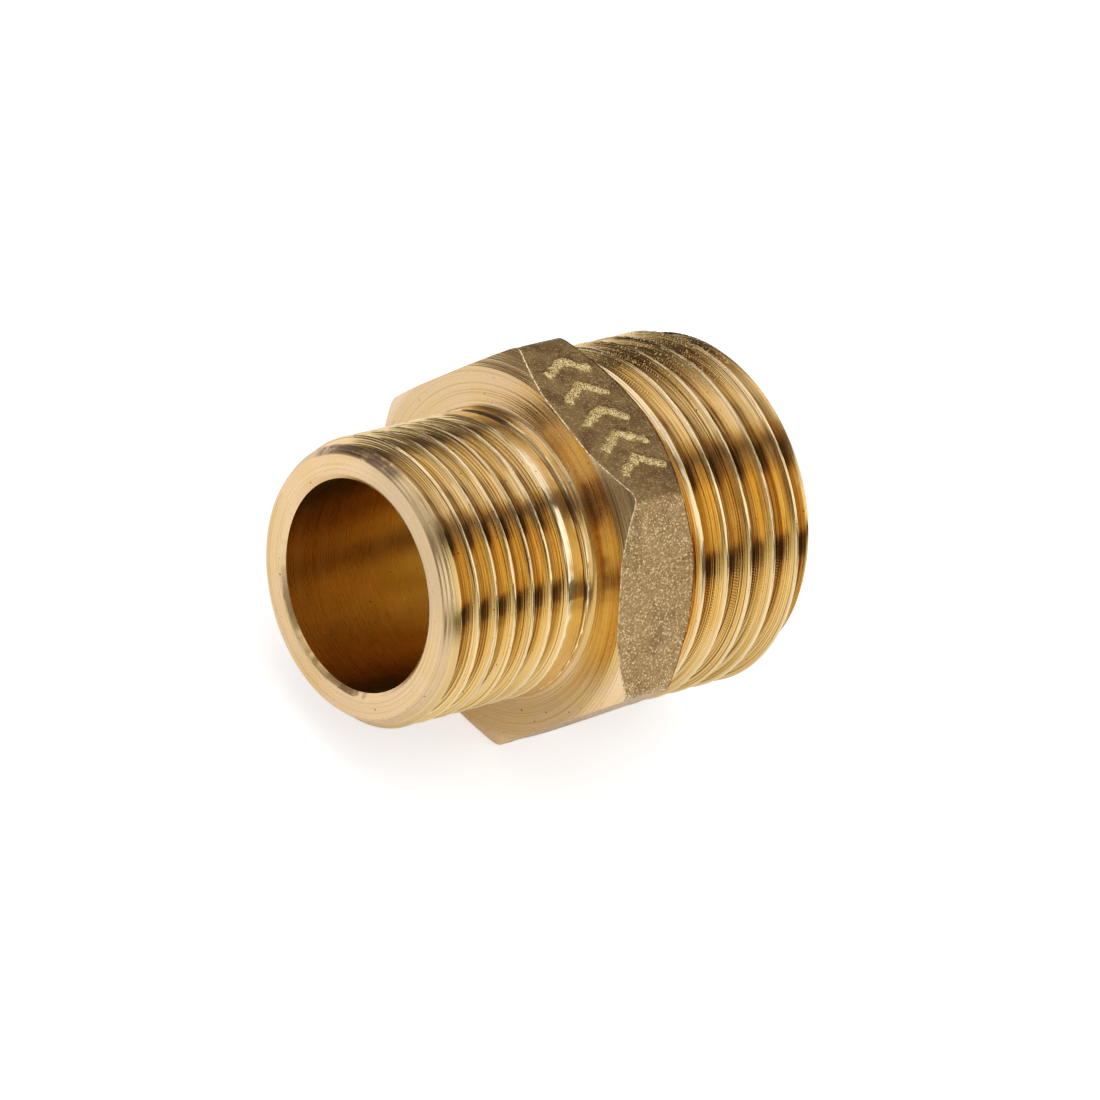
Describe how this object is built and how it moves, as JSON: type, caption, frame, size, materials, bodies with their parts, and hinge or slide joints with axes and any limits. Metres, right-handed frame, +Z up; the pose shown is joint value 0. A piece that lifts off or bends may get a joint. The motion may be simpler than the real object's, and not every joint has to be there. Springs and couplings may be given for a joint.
{
  "type": "reducing hex nipple",
  "caption": "Short brass pipe nipple: a smaller and a larger male parallel thread either side of a spanner hexagon, with a stepped bore right through.",
  "frame": {"origin": "middle of the bounding box at its lowest face, which is the hexagon flat that the nipple lies on; the bore axis is 10.4 mm above it", "axes": "+X along the bore axis from the small thread to the large thread, +Z out of the hexagon flat that carries the raised chevrons, +Y to the left when looking along +X with +Z up"},
  "size_m": [0.0262, 0.0238, 0.021],
  "materials": {
    "brass": "machined threads, faces and bore, with as-forged gritty hexagon flats"
  },
  "bodies": {
    "root": {"nipple_body": "brass"}
  },
  "joints": []
}
